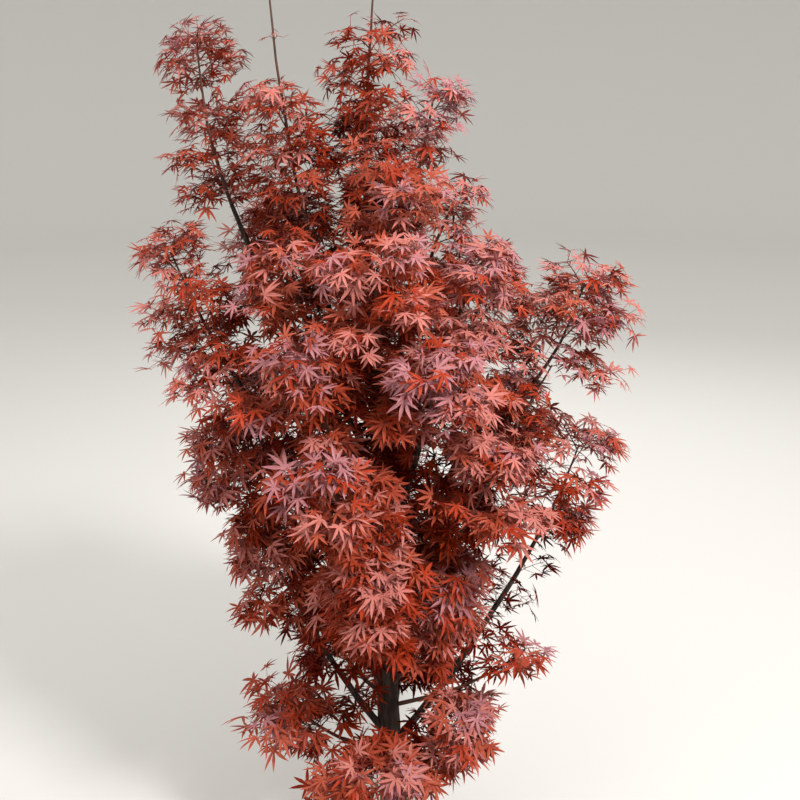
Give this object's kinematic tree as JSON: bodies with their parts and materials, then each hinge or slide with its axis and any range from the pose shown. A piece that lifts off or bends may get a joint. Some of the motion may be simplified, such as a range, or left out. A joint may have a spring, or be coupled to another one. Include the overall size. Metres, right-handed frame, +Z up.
{
  "type": "japanese maple tree",
  "caption": "Young upright Japanese maple tree with a tapering leaning trunk, slender rising boughs and open masses of red star-shaped leaves.",
  "frame": {"origin": "middle of the trunk's flat cut at ground level, the mount named ground", "axes": "+Z up along the tree, -Y towards the front that the picture shows, +X to the picture's right"},
  "size_m": [1.0029, 0.8024, 1.7954],
  "materials": {
    "bark": "dark grey-brown young bark, matt with fine vertical relief",
    "foliage": "thin satin leaves in reds from rose to maroon, on red twigs"
  },
  "bodies": {
    "root": {"trunk": "bark", "bough_back_high_left": "bark", "bough_back_high_right": "bark", "bough_back_low_left": "bark", "bough_back_low_right": "bark", "bough_back_mid": "bark", "bough_back_top": "bark", "bough_centre_high": "bark", "bough_front_low_left": "bark", "bough_front_low_right": "bark", "bough_front_mid_left": "bark", "bough_front_mid_right": "bark", "bough_leader_left": "bark", "bough_left_high": "bark", "bough_left_inner": "bark", "bough_left_low": "bark", "bough_left_mid": "bark", "bough_right_high": "bark", "bough_right_inner": "bark", "bough_right_low": "bark", "bough_right_mid": "bark", "bough_shoulder_right": "bark", "bough_skirt_left": "bark", "bough_spire_left": "bark", "bough_upper_centre": "bark", "leaves_back_high_left": "foliage", "leaves_back_high_right": "foliage", "leaves_back_low_left": "foliage", "leaves_back_low_right": "foliage", "leaves_back_mid": "foliage", "leaves_back_top": "foliage", "leaves_base_back": "foliage", "leaves_base_front": "foliage", "leaves_base_left": "foliage", "leaves_base_right": "foliage", "leaves_centre_high": "foliage", "leaves_front_low_left": "foliage", "leaves_front_low_right": "foliage", "leaves_front_mid_left": "foliage", "leaves_front_mid_right": "foliage", "leaves_leader_centre": "foliage", "leaves_leader_left": "foliage", "leaves_leader_right": "foliage", "leaves_left_high": "foliage", "leaves_left_inner": "foliage", "leaves_left_low": "foliage", "leaves_left_mid": "foliage", "leaves_right_high": "foliage", "leaves_right_inner": "foliage", "leaves_right_low": "foliage", "leaves_right_lowest": "foliage", "leaves_right_mid": "foliage", "leaves_shoulder_right": "foliage", "leaves_skirt_back": "foliage", "leaves_skirt_front": "foliage", "leaves_skirt_inner": "foliage", "leaves_skirt_left": "foliage", "leaves_skirt_right": "foliage", "leaves_spire_left": "foliage", "leaves_upper_centre": "foliage"}
  },
  "joints": []
}
